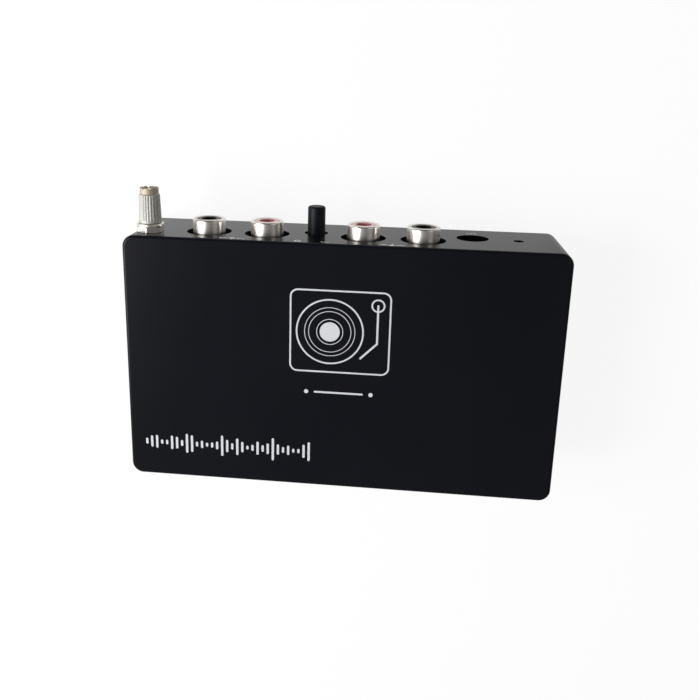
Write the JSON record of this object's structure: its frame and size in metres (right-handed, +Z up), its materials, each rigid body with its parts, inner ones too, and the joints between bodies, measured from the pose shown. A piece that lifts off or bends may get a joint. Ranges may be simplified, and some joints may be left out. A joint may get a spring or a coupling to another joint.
{
  "type": "phono preamp",
  "caption": "Small black box preamp for a turntable, with phono sockets, a push button, a power socket, a status lamp and a knurled ground terminal on one long wall.",
  "frame": {"origin": "middle of the whole outline, at the height of the surface that the feet stand on", "axes": "+Z up through the top face, +Y towards the connector wall, +X along it, away from the ground terminal"},
  "size_m": [0.11, 0.0762, 0.027],
  "materials": {
    "case_black": "satin black paint with a fine texture",
    "plate_black": "satin black paint",
    "screw_black": "black oxide",
    "rubber": "matt black rubber",
    "board_green": "green solder resist",
    "steel": "bright steel",
    "nickel": "bright nickel plating",
    "tin": "tinned metal",
    "insert_black": "moulded plastic",
    "insert_red": "moulded plastic",
    "plastic_black": "moulded plastic",
    "button_black": "semi-gloss moulded plastic",
    "bar_white": "moulded plastic",
    "spring_steel": "spring steel",
    "leaf_brass": "spring brass",
    "lamp_clear": "clear resin",
    "wire_green": "insulation",
    "chip_black": "moulded resin",
    "can_blue": "shrunk sleeve",
    "film_red": "dipped box",
    "resistor_tan": "lacquer"
  },
  "bodies": {
    "case": {"case_shell": "case_black", "base_plate": "plate_black", "base_screws": "screw_black", "rubber_feet": "rubber", "circuit_board": "board_green", "board_screws": "steel", "input_left_shell": "nickel", "input_left_insert": "insert_black", "input_left_contact": "nickel", "input_left_body": "plastic_black", "input_right_shell": "nickel", "input_right_insert": "insert_red", "input_right_contact": "nickel", "input_right_body": "plastic_black", "output_right_shell": "nickel", "output_right_insert": "insert_red", "output_right_contact": "nickel", "output_right_body": "plastic_black", "output_left_shell": "nickel", "output_left_insert": "insert_black", "output_left_contact": "nickel", "output_left_body": "plastic_black", "return_spring": "spring_steel", "switch_body": "plastic_black", "dc_socket_body": "plastic_black", "dc_centre_pin": "nickel", "dc_leaf_contact": "leaf_brass", "status_lamp": "lamp_clear", "lamp_leads": "tin", "ground_stud": "nickel", "ground_lug": "tin", "ground_wire": "wire_green", "ground_hex_nut": "nickel", "op_amps": "chip_black", "electrolytic_capacitors": "can_blue", "film_capacitors": "film_red", "resistors": "resistor_tan", "regulators": "chip_black"},
    "button": {"button_cap": "button_black", "switch_plunger": "bar_white"},
    "washer": {"ground_washer": "nickel"},
    "thumb_nut": {"ground_thumb_nut": "nickel"}
  },
  "joints": [
    {"name": "button_press", "type": "slide", "parent": "case", "child": "button", "axis": [0, -1, 0], "range_m": [0, 0.0025], "stiffness_N_per_m": 600, "springref_m": -0.002, "deforming": ["return_spring"]},
    {"name": "washer_slide", "type": "slide", "parent": "case", "child": "washer", "axis": [0, 1, 0], "range_m": [0, 0.0025]},
    {"name": "thumb_nut_turn", "type": "hinge", "parent": "washer", "child": "thumb_nut", "pos_m": [-0.0495, 0.0291, 0.0205], "axis": [0, 1, 0], "range_deg": [0, 1800]}
  ],
  "couplings": [
    {"joint": "thumb_nut_turn", "follows": "washer_slide", "rad_per_m": 12566}
  ]
}
